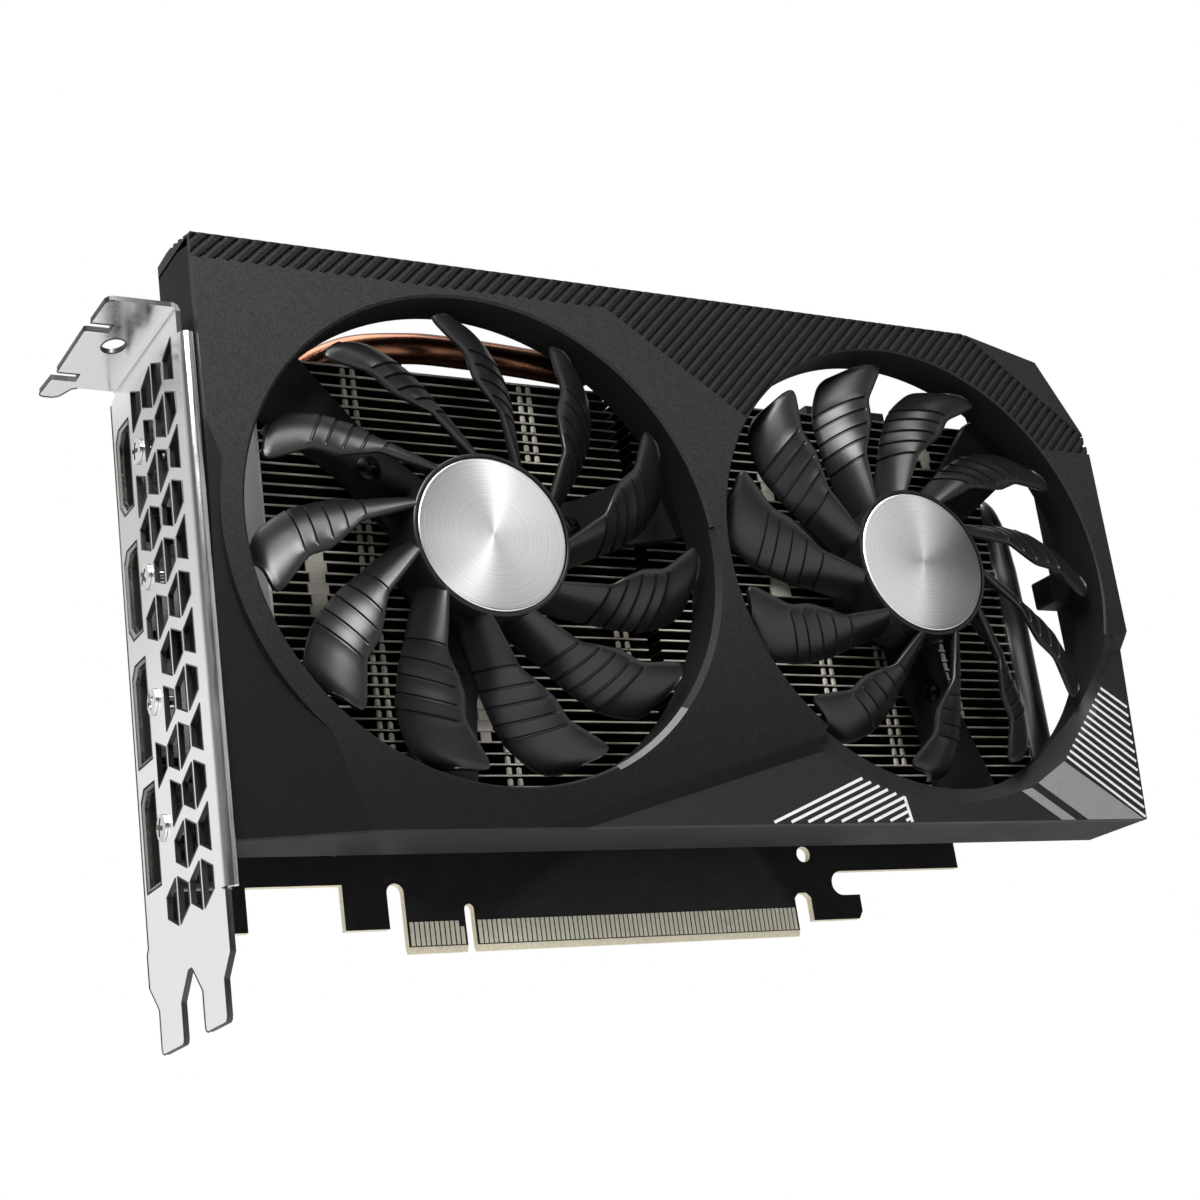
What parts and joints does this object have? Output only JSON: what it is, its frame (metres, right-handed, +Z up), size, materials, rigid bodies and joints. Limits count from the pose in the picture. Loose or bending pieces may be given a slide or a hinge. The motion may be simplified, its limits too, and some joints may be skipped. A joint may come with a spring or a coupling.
{
  "type": "graphics card",
  "caption": "Upright dual-slot graphics card: black ribbed shroud with two axial fans over a finned heatsink, vented metal bracket, sockets and a gold edge connector.",
  "frame": {"origin": "outer face of the bracket, level with the bottom of the edge connector, on the component side of the board", "axes": "+X along the card away from the bracket, +Y from the fans to the backplate, +Z up from the edge connector to the top edge"},
  "size_m": [0.2133, 0.0418, 0.1361],
  "materials": {
    "shroud_plastic": "fine matte black moulded plastic",
    "fan_plastic": "satin black moulded plastic",
    "disc_aluminium": "spun, bright",
    "bracket_nickel": "bright nickel plate",
    "socket_steel": "plated sheet",
    "screw_steel": "bright plated steel",
    "contact_gold": "gold plate",
    "board_black": "black solder mask on glass-fibre laminate",
    "chip_black": "moulded epoxy",
    "die_silicon": "polished silicon",
    "fin_aluminium": "mill finish sheet",
    "pipe_copper": "bare copper",
    "winding_copper": "enamelled copper wire on a steel core",
    "pipe_nickel": "dull nickel plate",
    "connector_black": "black moulded housing",
    "backplate_paint": "satin black powder coat"
  },
  "bodies": {
    "card": {"circuit_board": "board_black", "contacts_short_front": "contact_gold", "contacts_long_front": "contact_gold", "contacts_short_back": "contact_gold", "contacts_long_back": "contact_gold", "io_bracket": "bracket_nickel", "shroud": "shroud_plastic", "left_fin_stack": "fin_aluminium", "right_fin_stack": "fin_aluminium", "top_heat_pipe": "pipe_copper", "low_heat_pipe": "pipe_copper", "end_heat_pipe": "pipe_nickel", "cold_plate": "pipe_nickel", "processor_package": "chip_black", "processor_die": "die_silicon", "power_socket": "connector_black", "backplate": "backplate_paint", "hdmi_socket_1": "socket_steel", "hdmi_socket_1_tongue": "contact_gold", "dp_socket_1": "socket_steel", "dp_socket_1_tongue": "contact_gold", "hdmi_socket_2": "socket_steel", "hdmi_socket_2_tongue": "contact_gold", "dp_socket_2": "socket_steel", "dp_socket_2_tongue": "contact_gold", "bracket_screw_1": "screw_steel", "memory_chip_1": "chip_black", "backplate_screw_1": "screw_steel", "cooler_screw_1": "screw_steel", "bracket_screw_2": "screw_steel", "memory_chip_2": "chip_black", "backplate_screw_2": "screw_steel", "cooler_screw_2": "screw_steel", "bracket_screw_3": "screw_steel", "memory_chip_3": "chip_black", "backplate_screw_3": "screw_steel", "cooler_screw_3": "screw_steel", "bracket_screw_4": "screw_steel", "memory_chip_4": "chip_black", "backplate_screw_4": "screw_steel", "cooler_screw_4": "screw_steel", "left_fan_bearing": "pipe_copper", "left_fan_stator": "winding_copper", "left_fan_mount": "fan_plastic", "left_fan_screw_1": "screw_steel", "left_fan_screw_2": "screw_steel", "left_fan_screw_3": "screw_steel", "right_fan_bearing": "pipe_copper", "right_fan_stator": "winding_copper", "right_fan_mount": "fan_plastic", "right_fan_screw_1": "screw_steel", "right_fan_screw_2": "screw_steel", "right_fan_screw_3": "screw_steel"},
    "left_fan": {"left_fan_rotor": "fan_plastic", "left_fan_disc": "disc_aluminium", "left_fan_shaft": "screw_steel"},
    "right_fan": {"right_fan_rotor": "fan_plastic", "right_fan_disc": "disc_aluminium", "right_fan_shaft": "screw_steel"}
  },
  "joints": [
    {"name": "left_fan_spin", "type": "hinge", "parent": "card", "child": "left_fan", "pos_m": [0.0541, -0.03, 0.0665], "axis": [0, -1, 0], "continuous": true},
    {"name": "right_fan_spin", "type": "hinge", "parent": "card", "child": "right_fan", "pos_m": [0.1496, -0.03, 0.0665], "axis": [0, 1, 0], "continuous": true}
  ]
}
